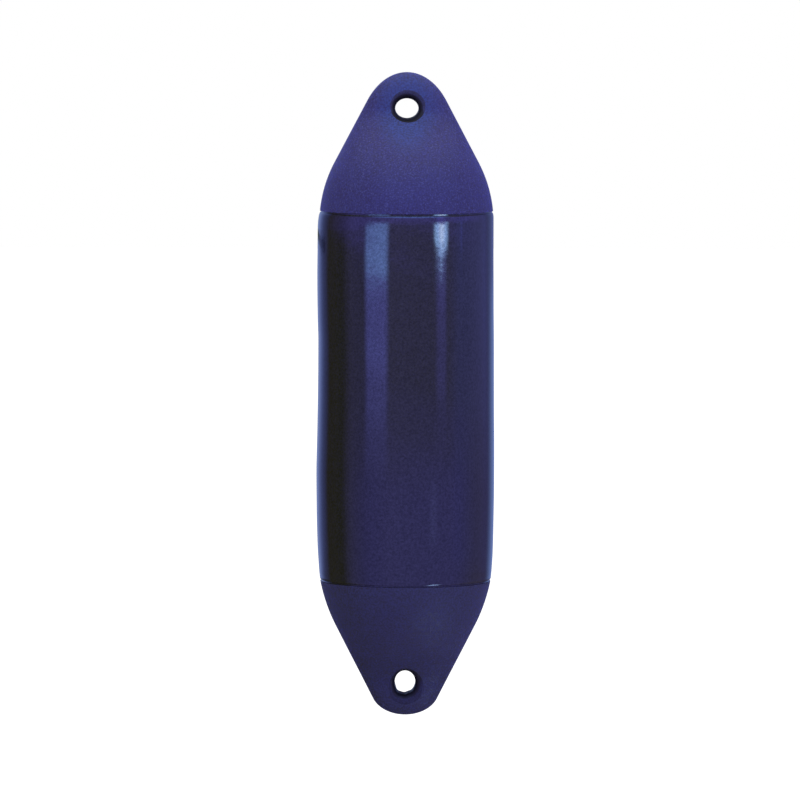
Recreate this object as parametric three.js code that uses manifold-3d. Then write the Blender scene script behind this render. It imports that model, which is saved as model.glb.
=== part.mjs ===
// A cylindrical boat fender: one closed, air-filled moulding of soft blue PVC with a polished
// barrel and two matt ends that flatten into rope eyes, and an inflation valve on its back.
// Millimetres. +Z is up the fender's axis as it hangs, the rope eyes run along Y, the front faces -Y,
// and the origin is the middle of the upper eye.

import * as THREE from "three";
import { mergeVertices } from "three/addons/utils/BufferGeometryUtils.js";
import Module from "manifold-3d";

const wasm = await Module();
wasm.setup();

// Upper end, measured from the seam where it meets the barrel
const UPPER_RISE = 130.4;
const UPPER_RIM_RADIUS = 80.6;
const UPPER_RIM_LEAN = 5.5; // degrees that the outline already leans in at the seam
const UPPER_SHOULDER_RADIUS = 121;
const UPPER_TIP_HALF_WIDTH = 46; // half axes of the ellipse that the tip follows
const UPPER_TIP_HALF_HEIGHT = 67.6;
const UPPER_EYE_FROM_TIP = 33.6;
const UPPER_EYE_HALF_WIDTH = 10.8;
const UPPER_EYE_HALF_HEIGHT = 9.5;

// Lower end, which came out of its mould a little shorter and blunter
const LOWER_RISE = 125;
const LOWER_RIM_RADIUS = 79.2;
const LOWER_RIM_LEAN = 11;
const LOWER_SHOULDER_RADIUS = 156;
const LOWER_TIP_HALF_WIDTH = 31.3;
const LOWER_TIP_HALF_HEIGHT = 22.9;
const LOWER_EYE_FROM_TIP = 31.5;
const LOWER_EYE_HALF_WIDTH = 9.6;
const LOWER_EYE_HALF_HEIGHT = 11.5;

// Both ends, seen from the side: a dome that runs up into the flat lug round the eye
const DOME_RISE = 92;
const DOME_DROP = 8; // how far past the seam the dome's widest level lies
const DOME_FULLNESS = 2.6; // 2 is a parabola, and more keeps its width longer
const LUG_THICKNESS = 36;
const LUG_FILLET = 26; // how much of a difference in depth the dome and the lug melt over
const LUG_SQUARENESS = 2.5; // 2 is an ellipse, and more is flatter with a tighter edge
const LIP_WIDTH = 6; // of the flare beside the bore
const LIP_LEAN = 2; // how much wider it is toward the tip, where the rope bears, and narrower opposite
const LIP_DEPTH = 7.5;

// Barrel, polished, and a step prouder than the ends beyond the moulded grooves
const BARREL_LENGTH = 344.6;
const GROOVE_WIDTH = 1.4;
const GROOVE_SLOPE = 0.4; // how much of the groove's width its wall on the end's side takes
const GROOVE_DEPTH = 0.9;
const BARREL_STEP = 0.5;
const UPPER_BARREL_EDGE = 5; // height over which the barrel's upper edge rounds over
const LOWER_BARREL_EDGE = 3;
const COLLAR_SWELL = 0.3; // fullness under the upper seam, over the narrowest place
const COLLAR_BELOW_SEAM = 50;
const NECK_RADIUS = 81.1;
const NECK_BELOW_SEAM = 112;
const BELLY_SWELL = 1.3;
const BELLY_ABOVE_SEAM = 88; // from the lower seam
const HEM_SHRINK = 1; // how much narrower than the belly the barrel is where it starts to close
const HEM_ABOVE_SEAM = 35;

// Inflation valve, set into the back of the upper end: an insert, a sealing ring and a plug
const VALVE_HEIGHT = 40; // above the upper seam
const SEAT_GAP = 0.3;
const SPOT_FACE_RIM = 2; // flat ring that shows round the insert
const SPOT_FACE_DEPTH = 2;
const FLANGE_PROUD = 0.6;
const FLANGE_RIM = 5.2;
const FLANGE_FLOOR = 1.6;
const STEM_WALL = 3.4;
const STEM_LENGTH = 15;
const BARB_COUNT = 3;
const BARB_HEIGHT = 1;
const PLUG_SHANK_RADIUS = 3.9;
const PLUG_SHANK_SHORT = 3; // how far the shank stops before the stem's end
const PLUG_HEAD_HEIGHT = 3;
const PLUG_HEAD_OVERHANG = 0.9;
const COIN_SLOT_WIDTH = 2;
const COIN_SLOT_FLOOR = 1.3;
const SEAL_THICKNESS = 1.2;
const SEAL_WIDTH = 2.4;
const EDGE_BREAK = 0.4; // chamfer on the turned pieces

// Facets
const SEAM_STEPS = 24; // round half of a seam
const OUTLINE_STEPS = 48; // round an end's outline, from seam to seam
const FACE_STEPS = 9; // from the eye's lip to the rim
const LIP_STEPS = 4;
const BARREL_STEPS = 12;
const EDGE_STEPS = 3;
const TURNED_STEPS = 36;
const WELD = 0.001;

// Places and fits that follow from the sizes
const UPPER_SEAM_Z = UPPER_EYE_FROM_TIP - UPPER_RISE;
const LOWER_SEAM_Z = UPPER_SEAM_Z - BARREL_LENGTH;
const PORT_RADIUS = PLUG_SHANK_RADIUS + SEAT_GAP;
const SEAL_RADIUS = PORT_RADIUS + SEAL_WIDTH;
const PLUG_HEAD_RADIUS = SEAL_RADIUS + PLUG_HEAD_OVERHANG;
const WELL_RADIUS = PLUG_HEAD_RADIUS + SEAT_GAP;
const WELL_DEPTH = PLUG_HEAD_HEIGHT + SEAL_THICKNESS + 2 * SEAT_GAP;
const FLANGE_RADIUS = WELL_RADIUS + FLANGE_RIM;
const FLANGE_THICKNESS = WELL_DEPTH + FLANGE_FLOOR;
const STEM_RADIUS = PORT_RADIUS + STEM_WALL;

const upperEnd = makeEnd({
  seamZ: UPPER_SEAM_Z,
  up: 1,
  rise: UPPER_RISE,
  rimRadius: UPPER_RIM_RADIUS,
  rimLean: THREE.MathUtils.degToRad(UPPER_RIM_LEAN),
  shoulderRadius: UPPER_SHOULDER_RADIUS,
  tipHalfWidth: UPPER_TIP_HALF_WIDTH,
  tipHalfHeight: UPPER_TIP_HALF_HEIGHT,
  eyeHeight: UPPER_RISE - UPPER_EYE_FROM_TIP,
  eyeHalfWidth: UPPER_EYE_HALF_WIDTH,
  eyeHalfHeight: UPPER_EYE_HALF_HEIGHT,
});

const lowerEnd = makeEnd({
  seamZ: LOWER_SEAM_Z,
  up: -1,
  rise: LOWER_RISE,
  rimRadius: LOWER_RIM_RADIUS,
  rimLean: THREE.MathUtils.degToRad(LOWER_RIM_LEAN),
  shoulderRadius: LOWER_SHOULDER_RADIUS,
  tipHalfWidth: LOWER_TIP_HALF_WIDTH,
  tipHalfHeight: LOWER_TIP_HALF_HEIGHT,
  eyeHeight: LOWER_RISE - LOWER_EYE_FROM_TIP,
  eyeHalfWidth: LOWER_EYE_HALF_WIDTH,
  eyeHalfHeight: LOWER_EYE_HALF_HEIGHT,
});

// An end with its outline in the front view, as points (half width, height over the seam) that a taut
// string would follow round the shoulder's arc and the tip's ellipse, with a straight flank between.
function makeEnd(end) {
  const turns = 240;
  const shoulderX = end.rimRadius - end.shoulderRadius * Math.cos(end.rimLean);
  const shoulderH = -end.shoulderRadius * Math.sin(end.rimLean);
  const tipH = end.rise - end.tipHalfHeight;
  const outline = [];
  let onTip = false;
  for (let i = 0; i <= turns; i++) {
    const turn = THREE.MathUtils.lerp(end.rimLean, Math.PI / 2, i / turns);
    const across = Math.cos(turn);
    const along = Math.sin(turn);
    const shoulderReach = shoulderX * across + shoulderH * along + end.shoulderRadius;
    const tipRadius = Math.hypot(end.tipHalfWidth * across, end.tipHalfHeight * along);
    onTip ||= tipH * along + tipRadius >= shoulderReach;
    const x = onTip
      ? (end.tipHalfWidth ** 2 * across) / tipRadius
      : shoulderX + end.shoulderRadius * across;
    const h = onTip
      ? tipH + (end.tipHalfHeight ** 2 * along) / tipRadius
      : shoulderH + end.shoulderRadius * along;
    outline.push(new THREE.Vector2(x, h));
  }
  outline[0].set(end.rimRadius, 0);
  outline[turns].set(0, end.rise);
  return { ...end, outline };
}

// Half the width of an end at a height over its seam.
function halfWidth(end, height) {
  const next = end.outline.findIndex((point) => point.y >= height);
  if (next < 0) return 0;
  if (next === 0) return end.rimRadius;
  const above = end.outline[next];
  const below = end.outline[next - 1];
  return THREE.MathUtils.mapLinear(height, below.y, above.y, below.x, above.x);
}

// The height of a superellipse of unit size at a share of its half width.
function bulge(share, squareness) {
  return (1 - Math.min(1, share) ** squareness) ** (1 / squareness);
}

// How much of its full radius a dome keeps at a height, less than none past its top.
function domeShare(height) {
  return 1 - Math.max(0, (height + DOME_DROP) / (DOME_RISE + DOME_DROP)) ** DOME_FULLNESS;
}

// Half the thickness of an end on its middle line: the dome and the lug, melted together.
function halfThickness(end, height) {
  const dome = (end.rimRadius * domeShare(height)) / domeShare(0);
  const overEye = Math.max(0, height - end.eyeHeight) / (end.rise - end.eyeHeight);
  const lug = (LUG_THICKNESS / 2) * bulge(overEye, LUG_SQUARENESS);
  const nearness = Math.max(0, 1 - Math.abs(dome - lug) / LUG_FILLET);
  return Math.max(dome, lug) + (LUG_FILLET / 4) * nearness ** 2;
}

// Half the thickness of an end at any point of its front view. The section is round at the seam.
function faceDepth(end, x, height) {
  const width = halfWidth(end, height);
  if (width === 0) return 0;
  const flatness = THREE.MathUtils.smoothstep(height, 0, end.eyeHeight);
  const squareness = THREE.MathUtils.lerp(2, LUG_SQUARENESS, flatness);
  return halfThickness(end, height) * bulge(Math.abs(x) / width, squareness);
}

// A point of an end's surface as (x across, y depth, z height over the seam) put in the fender's frame.
function placed(end, point, side) {
  return new THREE.Vector3(point.x, side * point.y, end.seamZ + end.up * point.z);
}

// Half a circle on the level z = 0, from +X round to -X, with its points' depths in y.
function halfCircle(radius) {
  const points = [];
  for (let i = 0; i <= SEAM_STEPS; i++) {
    const angle = (Math.PI * i) / SEAM_STEPS;
    points.push(new THREE.Vector3(radius * Math.cos(angle), radius * Math.sin(angle), 0));
  }
  return points;
}

// The edge of an end's face: up the outline to the tip, down to the seam, and back round the seam.
function faceEdge(end) {
  const right = new THREE.Path(end.outline)
    .getSpacedPoints(OUTLINE_STEPS / 2)
    .map((point) => new THREE.Vector3(point.x, 0, point.y));
  const left = right
    .slice(1, -1)
    .map((point) => new THREE.Vector3(-point.x, 0, point.z))
    .reverse();
  const seam = halfCircle(end.rimRadius).slice(1).reverse();
  return [...right, ...left, ...seam];
}

// Rings of points from the edge of an end's face inwards to the eye's bore, over the flared lip.
function faceRings(end) {
  const edge = faceEdge(end);
  const bearings = edge.map((point) => Math.atan2(point.z - end.eyeHeight, point.x));
  const eyeReach = (bearing) =>
    1 / Math.hypot(Math.cos(bearing) / end.eyeHalfWidth, Math.sin(bearing) / end.eyeHalfHeight);
  const lipWidth = (bearing) => LIP_WIDTH + LIP_LEAN * Math.sin(bearing);
  const pointAt = (bearing, reach, drop) => {
    const x = reach * Math.cos(bearing);
    const height = end.eyeHeight + reach * Math.sin(bearing);
    return new THREE.Vector3(x, faceDepth(end, x, height) - drop, height);
  };
  const rings = [edge];
  for (let i = 1; i <= FACE_STEPS; i++) {
    const inwards = 1 - Math.cos((i / FACE_STEPS) * (Math.PI / 2));
    const ring = edge.map((point, k) => {
      const edgeReach = Math.hypot(point.x, point.z - end.eyeHeight);
      const lipReach = eyeReach(bearings[k]) + lipWidth(bearings[k]);
      return pointAt(bearings[k], THREE.MathUtils.lerp(edgeReach, lipReach, inwards), 0);
    });
    rings.push(ring);
  }
  for (let i = 1; i <= LIP_STEPS; i++) {
    const turn = (i / LIP_STEPS) * (Math.PI / 2);
    const ring = bearings.map((bearing) => {
      const reach = eyeReach(bearing) + lipWidth(bearing) * (1 - Math.sin(turn));
      return pointAt(bearing, reach, LIP_DEPTH * (1 - Math.cos(turn)));
    });
    rings.push(ring);
  }
  return rings;
}

// Triangles between neighbouring rings of equally many points, each ring closed on itself.
function skin(rings, flipped) {
  const corners = [];
  for (let i = 0; i + 1 < rings.length; i++) {
    const count = rings[i].length;
    for (let k = 0; k < count; k++) {
      const next = (k + 1) % count;
      const a = rings[i][k];
      const b = rings[i][next];
      const c = rings[i + 1][next];
      const d = rings[i + 1][k];
      if (flipped) corners.push(a, c, b, a, d, c);
      else corners.push(a, b, c, a, c, d);
    }
  }
  return corners;
}

// An end's whole surface, from its front edge through the eye to its back edge.
function endSkin(end) {
  const rings = faceRings(end);
  const front = rings.map((ring) => ring.map((point) => placed(end, point, -1)));
  const back = rings.map((ring) => ring.map((point) => placed(end, point, 1)));
  return skin([...front, ...back.reverse()], end.up < 0);
}

// From a seam over its groove and round the barrel's edge, as points (radius, distance from the seam).
function barrelEdge(rimRadius, edgeHeight) {
  const floorRadius = rimRadius - GROOVE_DEPTH;
  const points = [new THREE.Vector2(rimRadius, 0), new THREE.Vector2(floorRadius, GROOVE_SLOPE)];
  for (let i = 0; i <= EDGE_STEPS; i++) {
    const turn = (i / EDGE_STEPS) * (Math.PI / 2);
    const radius = floorRadius + (GROOVE_DEPTH + BARREL_STEP) * Math.sin(turn);
    points.push(new THREE.Vector2(radius, GROOVE_WIDTH + edgeHeight * (1 - Math.cos(turn))));
  }
  return points;
}

// The barrel's whole profile, as points (radius, z), from the upper seam to the lower one.
function barrelProfile() {
  const upper = barrelEdge(UPPER_RIM_RADIUS, UPPER_BARREL_EDGE).map(
    (point) => new THREE.Vector2(point.x, UPPER_SEAM_Z - point.y),
  );
  const lower = barrelEdge(LOWER_RIM_RADIUS, LOWER_BARREL_EDGE).map(
    (point) => new THREE.Vector2(point.x, LOWER_SEAM_Z + point.y),
  );
  const bellyRadius = NECK_RADIUS + BELLY_SWELL;
  const neckZ = UPPER_SEAM_Z - NECK_BELOW_SEAM;
  const bellyZ = LOWER_SEAM_Z + BELLY_ABOVE_SEAM;
  const side = new THREE.SplineCurve([
    upper.at(-1),
    new THREE.Vector2(NECK_RADIUS + COLLAR_SWELL, UPPER_SEAM_Z - COLLAR_BELOW_SEAM),
    new THREE.Vector2(NECK_RADIUS, neckZ),
    new THREE.Vector2((NECK_RADIUS + bellyRadius) / 2, (neckZ + bellyZ) / 2),
    new THREE.Vector2(bellyRadius, bellyZ),
    new THREE.Vector2(bellyRadius - HEM_SHRINK, LOWER_SEAM_Z + HEM_ABOVE_SEAM),
    lower.at(-1),
  ]);
  const between = side.getSpacedPoints(BARREL_STEPS).slice(1, -1);
  return [...upper, ...between, ...lower.reverse()];
}

// The barrel's surface, from seam to seam.
function barrelSkin() {
  const rings = barrelProfile().map((point) => {
    const front = halfCircle(point.x).map((p) => new THREE.Vector3(p.x, -p.y, point.y));
    const back = front.slice(1, -1).map((p) => new THREE.Vector3(p.x, -p.y, p.z));
    return [...front, ...back.reverse()];
  });
  return skin(rings, false);
}

// A closed mesh as a solid that can be cut.
function solidOf(geometry) {
  const bare = geometry.clone();
  bare.deleteAttribute("normal");
  bare.deleteAttribute("uv");
  const merged = mergeVertices(bare, WELD);
  const corners = [];
  for (let i = 0; i < merged.index.count; i += 3) {
    const [a, b, c] = merged.index.array.slice(i, i + 3);
    if (a !== b && b !== c && c !== a) corners.push(a, b, c);
  }
  const mesh = new wasm.Mesh({
    numProp: 3,
    vertProperties: merged.attributes.position.array,
    triVerts: new Uint32Array(corners),
  });
  return new wasm.Manifold(mesh);
}

function geometryOf(solid) {
  const { vertProperties, triVerts } = solid.getMesh();
  const geometry = new THREE.BufferGeometry();
  geometry.setAttribute("position", new THREE.BufferAttribute(vertProperties, 3));
  geometry.setIndex(new THREE.BufferAttribute(triVerts, 1));
  geometry.computeVertexNormals();
  return geometry;
}

// A piece turned round the valve's axis, its local Y, from the corners (radius, level) of its section.
function turned(corners) {
  const section = corners.map(([radius, level]) => new THREE.Vector2(radius, level));
  return new THREE.LatheGeometry(section, TURNED_STEPS);
}

// The valve's place: its axis stands square on the dome, and its level nought is the spot face's.
function valveGroup() {
  const step = 0.5;
  const depth = halfThickness(upperEnd, VALVE_HEIGHT);
  const fall = halfThickness(upperEnd, VALVE_HEIGHT - step) - halfThickness(upperEnd, VALVE_HEIGHT + step);
  const tilt = Math.atan2(fall, 2 * step);
  const group = new THREE.Group();
  group.rotation.x = tilt;
  group.position.set(
    0,
    depth - SPOT_FACE_DEPTH * Math.cos(tilt),
    UPPER_SEAM_Z + VALVE_HEIGHT - SPOT_FACE_DEPTH * Math.sin(tilt),
  );
  group.updateMatrix();
  return group;
}

// Levels of the valve's pieces along its axis
const FLANGE_FOOT = FLANGE_PROUD - FLANGE_THICKNESS;
const STEM_FOOT = FLANGE_FOOT - STEM_LENGTH;
const WELL_FLOOR = FLANGE_PROUD - WELL_DEPTH;
const SEAL_FOOT = WELL_FLOOR + SEAT_GAP;
const HEAD_FOOT = SEAL_FOOT + SEAL_THICKNESS + SEAT_GAP;
const HEAD_TOP = HEAD_FOOT + PLUG_HEAD_HEIGHT;

// What is cut from the body for the valve: a spot face, the flange's seat and the stem's hole.
function valvePocket() {
  const holeRadius = STEM_RADIUS + BARB_HEIGHT + SEAT_GAP;
  const seatRadius = FLANGE_RADIUS + SEAT_GAP;
  const spotRadius = seatRadius + SPOT_FACE_RIM;
  const outside = 2 * SPOT_FACE_DEPTH;
  return turned([
    [0, STEM_FOOT - SEAT_GAP],
    [holeRadius, STEM_FOOT - SEAT_GAP],
    [holeRadius, FLANGE_FOOT - SEAT_GAP],
    [seatRadius, FLANGE_FOOT - SEAT_GAP],
    [seatRadius, 0],
    [spotRadius, 0],
    [spotRadius, outside],
    [0, outside],
  ]);
}

function bodyGeometry(valve) {
  const corners = [...endSkin(upperEnd), ...barrelSkin(), ...endSkin(lowerEnd)];
  const moulding = new THREE.BufferGeometry().setFromPoints(corners);
  const pocket = valvePocket().applyMatrix4(valve.matrix);
  return geometryOf(solidOf(moulding).subtract(solidOf(pocket)));
}

// The insert: a flange with a well for the plug's head, and a barbed stem with a port through it.
function insertGeometry() {
  const barbPitch = STEM_LENGTH / (BARB_COUNT + 1);
  const barbs = [];
  for (let i = 0; i < BARB_COUNT; i++) {
    const foot = STEM_FOOT + i * barbPitch;
    barbs.push([STEM_RADIUS, foot], [STEM_RADIUS + BARB_HEIGHT, foot + barbPitch]);
  }
  return turned([
    [PORT_RADIUS, STEM_FOOT],
    ...barbs,
    [STEM_RADIUS, STEM_FOOT + BARB_COUNT * barbPitch],
    [STEM_RADIUS, FLANGE_FOOT],
    [FLANGE_RADIUS, FLANGE_FOOT],
    [FLANGE_RADIUS, FLANGE_PROUD - EDGE_BREAK],
    [FLANGE_RADIUS - EDGE_BREAK, FLANGE_PROUD],
    [WELL_RADIUS, FLANGE_PROUD],
    [WELL_RADIUS, WELL_FLOOR],
    [PORT_RADIUS, WELL_FLOOR],
    [PORT_RADIUS, STEM_FOOT],
  ]);
}

function sealGeometry() {
  const edge = Math.min(EDGE_BREAK, SEAL_THICKNESS / 3, SEAL_WIDTH / 3);
  const top = SEAL_FOOT + SEAL_THICKNESS;
  return turned([
    [PORT_RADIUS + edge, SEAL_FOOT],
    [SEAL_RADIUS - edge, SEAL_FOOT],
    [SEAL_RADIUS, SEAL_FOOT + edge],
    [SEAL_RADIUS, top - edge],
    [SEAL_RADIUS - edge, top],
    [PORT_RADIUS + edge, top],
    [PORT_RADIUS, top - edge],
    [PORT_RADIUS, SEAL_FOOT + edge],
    [PORT_RADIUS + edge, SEAL_FOOT],
  ]);
}

// The plug: a shank under a flat head, with a slot across the head for a coin.
function plugGeometry() {
  const foot = STEM_FOOT + PLUG_SHANK_SHORT;
  const blank = turned([
    [0, foot],
    [PLUG_SHANK_RADIUS - EDGE_BREAK, foot],
    [PLUG_SHANK_RADIUS, foot + EDGE_BREAK],
    [PLUG_SHANK_RADIUS, HEAD_FOOT],
    [PLUG_HEAD_RADIUS, HEAD_FOOT],
    [PLUG_HEAD_RADIUS, HEAD_TOP - EDGE_BREAK],
    [PLUG_HEAD_RADIUS - EDGE_BREAK, HEAD_TOP],
    [0, HEAD_TOP],
  ]);
  const slotTall = 2 * (PLUG_HEAD_HEIGHT - COIN_SLOT_FLOOR);
  const slot = new THREE.BoxGeometry(3 * PLUG_HEAD_RADIUS, slotTall, COIN_SLOT_WIDTH);
  slot.translate(0, HEAD_TOP, 0);
  return geometryOf(solidOf(blank).subtract(solidOf(slot)));
}

function named(name, geometry, material) {
  const mesh = new THREE.Mesh(geometry, material);
  mesh.name = name;
  return mesh;
}

const vinyl = new THREE.MeshStandardMaterial({ color: 0x2f2f66, roughness: 0.35, metalness: 0 });
const nylon = new THREE.MeshStandardMaterial({ color: 0x26263a, roughness: 0.5, metalness: 0 });
const rubber = new THREE.MeshStandardMaterial({ color: 0x141414, roughness: 0.8, metalness: 0 });

const fender = new THREE.Group();
const valve = valveGroup();
fender.add(named("fender_body", bodyGeometry(valve), vinyl));
valve.add(named("valve_insert", insertGeometry(), nylon));
valve.add(named("valve_seal", sealGeometry(), rubber));
valve.add(named("valve_plug", plugGeometry(), nylon));
fender.add(valve);

export default fender;
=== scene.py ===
"""Looks of a navy vinyl boat fender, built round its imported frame.

The moulding is rebuilt as one fine closed mesh over the same form as the solid: two matt, grained
ends that flatten into rope eyes with satin flares, a polished barrel between them, and the moulded
grooves where they meet. The valve on its back keeps its seat and gets its finer edges and its
thread.
"""

import math
from collections import namedtuple

import bmesh
import bpy
import numpy as np
from mathutils import Matrix, Vector


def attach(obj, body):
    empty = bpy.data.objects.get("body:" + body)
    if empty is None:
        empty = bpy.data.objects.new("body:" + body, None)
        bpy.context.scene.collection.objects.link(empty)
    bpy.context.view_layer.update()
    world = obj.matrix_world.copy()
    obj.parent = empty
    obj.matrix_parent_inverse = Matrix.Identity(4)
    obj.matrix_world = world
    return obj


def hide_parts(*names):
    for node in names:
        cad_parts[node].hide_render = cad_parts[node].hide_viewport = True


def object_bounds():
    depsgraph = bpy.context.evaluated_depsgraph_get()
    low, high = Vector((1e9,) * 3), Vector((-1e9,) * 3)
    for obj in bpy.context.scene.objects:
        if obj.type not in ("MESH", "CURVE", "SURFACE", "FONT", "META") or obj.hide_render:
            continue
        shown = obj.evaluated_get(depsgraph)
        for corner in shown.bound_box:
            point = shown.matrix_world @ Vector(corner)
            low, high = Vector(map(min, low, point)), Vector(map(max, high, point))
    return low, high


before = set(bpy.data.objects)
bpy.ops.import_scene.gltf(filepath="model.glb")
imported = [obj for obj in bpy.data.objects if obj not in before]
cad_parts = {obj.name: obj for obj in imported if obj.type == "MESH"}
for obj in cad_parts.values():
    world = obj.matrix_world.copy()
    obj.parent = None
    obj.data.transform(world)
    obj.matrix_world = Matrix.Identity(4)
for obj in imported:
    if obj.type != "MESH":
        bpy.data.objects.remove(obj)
CAD_LOW, CAD_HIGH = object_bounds()

# Sizes are in millimetres, as on the real object, and meshes are made in metres
MM = 0.001

# The ends, each measured from the seam where it meets the barrel. An eye's dents are where its bore
# stands out or in: bearing in degrees, spread and reach. The lip is the flare round an eye. Its lean
# makes it wider towards the tip and its side towards the right, and narrower opposite.
End = namedtuple(
    "End",
    "seam_z up rise rim_radius rim_lean shoulder_radius tip_half_width tip_half_height"
    " eye_height eye_half_width eye_half_height eye_dents lip_width lip_lean lip_side",
)
UPPER_RISE = 128.9
LOWER_RISE = 125.6
UPPER_TIP_Z = CAD_HIGH.z / MM
LOWER_TIP_Z = CAD_LOW.z / MM
UPPER = End(
    seam_z=UPPER_TIP_Z - UPPER_RISE,
    up=1,
    rise=UPPER_RISE,
    rim_radius=80.6,
    rim_lean=math.radians(5.5),
    shoulder_radius=121,
    tip_half_width=46.4,
    tip_half_height=67.6,
    eye_height=UPPER_RISE - UPPER_TIP_Z,
    eye_half_width=10.8,
    eye_half_height=9.5,
    eye_dents=(),
    lip_width=5.5,
    lip_lean=2.4,
    lip_side=0.8,
)
LOWER = End(
    seam_z=LOWER_TIP_Z + LOWER_RISE,
    up=-1,
    rise=LOWER_RISE,
    rim_radius=79.4,
    rim_lean=math.radians(11),
    shoulder_radius=156,
    tip_half_width=31.7,
    tip_half_height=22.9,
    eye_height=LOWER_RISE - 31.5,
    eye_half_width=9.6,
    eye_half_height=11.5,
    eye_dents=((128, 14, 0.9), (75, 12, -0.7)),
    lip_width=6,
    lip_lean=3.4,
    lip_side=1.2,
)

# Both ends, seen from the side: a dome that runs up into the flat lug round the eye
DOME_RISE = 92
DOME_DROP = 8
DOME_FULLNESS = 2.6
LUG_THICKNESS = 36
LUG_FILLET = 26
LUG_SQUARENESS = 2.5
LIP_DEPTH = 7.5

# The barrel's profile between the grooves
GROOVE_WIDTH = 1.4
GROOVE_SLOPE = 0.4
GROOVE_DEPTH = 0.9
BARREL_STEP = 0.5
UPPER_BARREL_EDGE = 5
LOWER_BARREL_EDGE = 3
BARREL_STATIONS = (  # distance below the upper seam, and radius
    (50, 81.3), (120, 81.78), (190, 82.26), (256, 82.5), (309.6, 81.8), (331, 80.8),
)

# Soft places of the skin
LEFT_BULGES = (  # height, and how far out the left side stands there
    (-422, 0), (-407, 0.3), (-392, 0.55), (-377, 0.7), (-335, 0.7), (-302, 0.25), (-273, -0.05),
    (-243, -0.15), (-213, 0.05), (-198, 0.65), (-168, 1.5), (-153, 1.7), (-138, 1.6), (-107, 1.35),
)
SKIN_WAVES = (  # size, length, turns round the barrel, and start
    (0.05, 118, 2, 0.4), (0.03, 74, 3, 2.1), (0.015, 49, 5, 4.0),
)
WAVE_FADE = 12

# Inflation valve
VALVE_HEIGHT = 40
SEAT_GAP = 0.3
SPOT_FACE_RIM = 2
SPOT_FACE_DEPTH = 2
SPOT_FILLET = 0.8
FLANGE_PROUD = 0.6
FLANGE_RIM = 5.2
FLANGE_FLOOR = 1.6
STEM_WALL = 3.4
STEM_LENGTH = 15
BARB_COUNT = 3
BARB_HEIGHT = 1
PLUG_SHANK_RADIUS = 3.9
PLUG_SHANK_SHORT = 3
PLUG_HEAD_HEIGHT = 3
PLUG_HEAD_OVERHANG = 0.9
HEAD_CROWN = 0.5
HEAD_CROWN_RIM = 1.2
THREAD_PITCH = 1.6
THREAD_DEPTH = 0.55
THREAD_CREST = 1.4
THREAD_RUNOUT = 1
COIN_SLOT_WIDTH = 2
COIN_SLOT_FLOOR = 1.3
SEAL_THICKNESS = 1.2
SEAL_WIDTH = 2.4
SEAL_SQUARENESS = 0.8
EDGE_BREAK = 0.4
FLANGE_GROOVE_WIDTH = 1
FLANGE_GROOVE_DEPTH = 0.4
PORT_RADIUS = PLUG_SHANK_RADIUS + SEAT_GAP
SEAL_RADIUS = PORT_RADIUS + SEAL_WIDTH
PLUG_HEAD_RADIUS = SEAL_RADIUS + PLUG_HEAD_OVERHANG
WELL_RADIUS = PLUG_HEAD_RADIUS + SEAT_GAP
WELL_DEPTH = PLUG_HEAD_HEIGHT + SEAL_THICKNESS + 2 * SEAT_GAP
FLANGE_RADIUS = WELL_RADIUS + FLANGE_RIM
FLANGE_THICKNESS = WELL_DEPTH + FLANGE_FLOOR
STEM_RADIUS = PORT_RADIUS + STEM_WALL
FLANGE_FOOT = FLANGE_PROUD - FLANGE_THICKNESS
STEM_FOOT = FLANGE_FOOT - STEM_LENGTH
WELL_FLOOR = FLANGE_PROUD - WELL_DEPTH
SEAL_FOOT = WELL_FLOOR + SEAT_GAP
HEAD_FOOT = SEAL_FOOT + SEAL_THICKNESS + SEAT_GAP
HEAD_TOP = HEAD_FOOT + PLUG_HEAD_HEIGHT

# The fine mesh
SEAM_STEPS = 112
OUTLINE_STEPS = 200
FACE_STEPS = 38
LIP_STEPS = 12
BARREL_STEPS = 96
EDGE_STEPS = 10
OUTLINE_SAMPLES = 600
CURVE_SAMPLES = 60
TURNED_STEPS = 96
ROUNDING_STEPS = 4
SEAL_STEPS = 24
SHANK_STEPS = 72
THREAD_ROWS = 110
SLOT_FLOOR_POINTS = 9
WELD_DISTANCE = 0.001
CREASE_DEGREES = 32

# Where painted light changes the matt vinyl's colour, in metres: a painted sheen round the upper
# eye, and painted shade that makes it greyer at the low end
PAINTED_SHEEN_NEAR = 0.016
PAINTED_SHEEN_FAR = 0.048
PAINTED_SHEEN_STRETCH = 1.35
# Painted shade: below this height the matt vinyl turns greyer and less blue
PAINTED_SHADE_TOP = -0.3
PAINTED_SHADE_FADE = 0.1

# How squarely a flare still faces forwards where its painted shade starts, and over how much it
# deepens
FLARE_FACING = 0.998
FLARE_FADE = 0.1

# Colours of the vinyl, each between its specks and on them
POLISHED_DARK = ((0.0015, 0.0014, 0.006), (0.0095, 0.009, 0.034))
POLISHED_PALE = ((0.0025, 0.0024, 0.009), (0.0115, 0.011, 0.040))
MATT_DARK = ((0.0255, 0.0220, 0.075), (0.0440, 0.0420, 0.180))
MATT_PALE = ((0.0275, 0.0245, 0.084), (0.0465, 0.0470, 0.197))
# A painted sheen, which makes the vinyl bluer round the upper eye
MATT_PAINTED_SHEEN = ((0.029, 0.0330, 0.118), (0.048, 0.0755, 0.284))
# Painted shade at the low end, greyer and less blue
MATT_PAINTED_LOW_SHADE = ((0.0250, 0.0250, 0.042), (0.0500, 0.0525, 0.150))
# Pale flecks in the grain, painted sparkle of the sheen
MATT_PAINTED_SPARKLE = (0.064, 0.066, 0.232)
# The flares' dark satin colour, partly painted shade, and the painted shade deep in their bores
FLARE_OUTSIDE = ((0.021, 0.0215, 0.044), (0.033, 0.0350, 0.100))
FLARE_PAINTED_BORE_SHADE = ((0.007, 0.0072, 0.010), (0.011, 0.0112, 0.016))

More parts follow.
